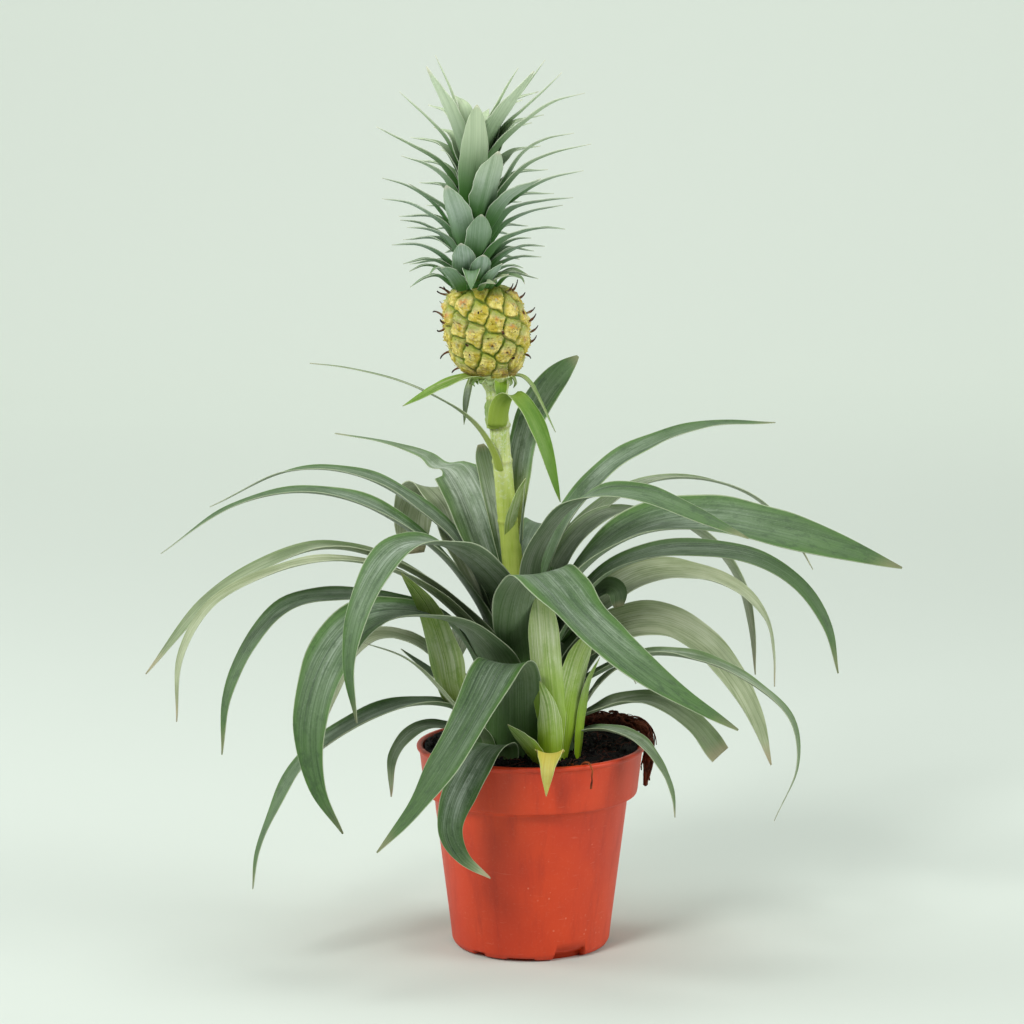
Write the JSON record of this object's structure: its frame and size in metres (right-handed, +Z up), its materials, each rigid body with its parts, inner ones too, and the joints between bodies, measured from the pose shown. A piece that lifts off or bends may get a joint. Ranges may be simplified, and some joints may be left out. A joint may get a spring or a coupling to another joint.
{
  "type": "potted pineapple plant",
  "caption": "Young pineapple plant with arching strap leaves and a stalk that carries a small ripening fruit under its leafy crown, growing in peat in a round plastic nursery pot.",
  "frame": {"origin": "the middle of the pot's flat underside, on the surface that the pot stands on", "axes": "+Z up along the pot's axis; the side that the picture shows faces -Y; +X to the right seen from there"},
  "size_m": [0.3334, 0.2225, 0.3997],
  "materials": {
    "pot_plastic": "satin",
    "peat": "matte",
    "root_fibre": "matte",
    "stalk_skin": "matte",
    "fruit_skin": "satin",
    "crown_leaf": "matte",
    "green_leaf": "satin",
    "pale_leaf": "satin",
    "young_leaf": "satin"
  },
  "bodies": {
    "root": {"pot": "pot_plastic", "soil": "peat", "root_strand": "root_fibre", "root_tuft": "root_fibre", "stem": "stalk_skin", "fruit": "fruit_skin", "crown": "crown_leaf", "leaf_right_10": "green_leaf", "leaf_left_12": "green_leaf", "leaf_left_08": "green_leaf", "leaf_left_06": "green_leaf", "leaf_right_04": "green_leaf", "leaf_right_02": "green_leaf", "leaf_left_01": "green_leaf", "leaf_left_02": "green_leaf", "leaf_left_03": "green_leaf", "leaf_left_04": "green_leaf", "leaf_left_05": "green_leaf", "leaf_left_15": "pale_leaf", "leaf_left_07": "green_leaf", "leaf_left_09": "green_leaf", "leaf_left_10": "green_leaf", "leaf_left_11": "green_leaf", "leaf_left_14": "young_leaf", "leaf_left_18": "green_leaf", "leaf_left_17": "green_leaf", "leaf_left_13": "green_leaf", "leaf_right_01": "green_leaf", "leaf_right_05": "green_leaf", "leaf_right_03": "green_leaf", "leaf_right_06": "green_leaf", "leaf_right_07": "green_leaf", "leaf_right_08": "pale_leaf", "leaf_right_09": "green_leaf", "leaf_right_11": "green_leaf", "leaf_right_12": "green_leaf", "leaf_right_13": "green_leaf", "leaf_right_15": "green_leaf", "leaf_right_14": "green_leaf", "leaf_back_1": "green_leaf", "leaf_back_2": "green_leaf", "leaf_back_3": "green_leaf", "leaf_back_4": "green_leaf", "leaf_back_5": "green_leaf", "stalk_leaf_1": "young_leaf", "stalk_leaf_2": "green_leaf", "stalk_leaf_3": "green_leaf", "stalk_leaf_4": "young_leaf", "stalk_leaf_5": "young_leaf", "stalk_leaf_6": "green_leaf", "stalk_leaf_7": "young_leaf", "stalk_leaf_8": "young_leaf", "stalk_leaf_9": "green_leaf", "stalk_leaf_10": "green_leaf", "offset_leaf_1": "young_leaf", "offset_leaf_2": "young_leaf", "offset_leaf_3": "young_leaf", "offset_leaf_4": "young_leaf", "offset_leaf_5": "young_leaf"}
  },
  "joints": []
}
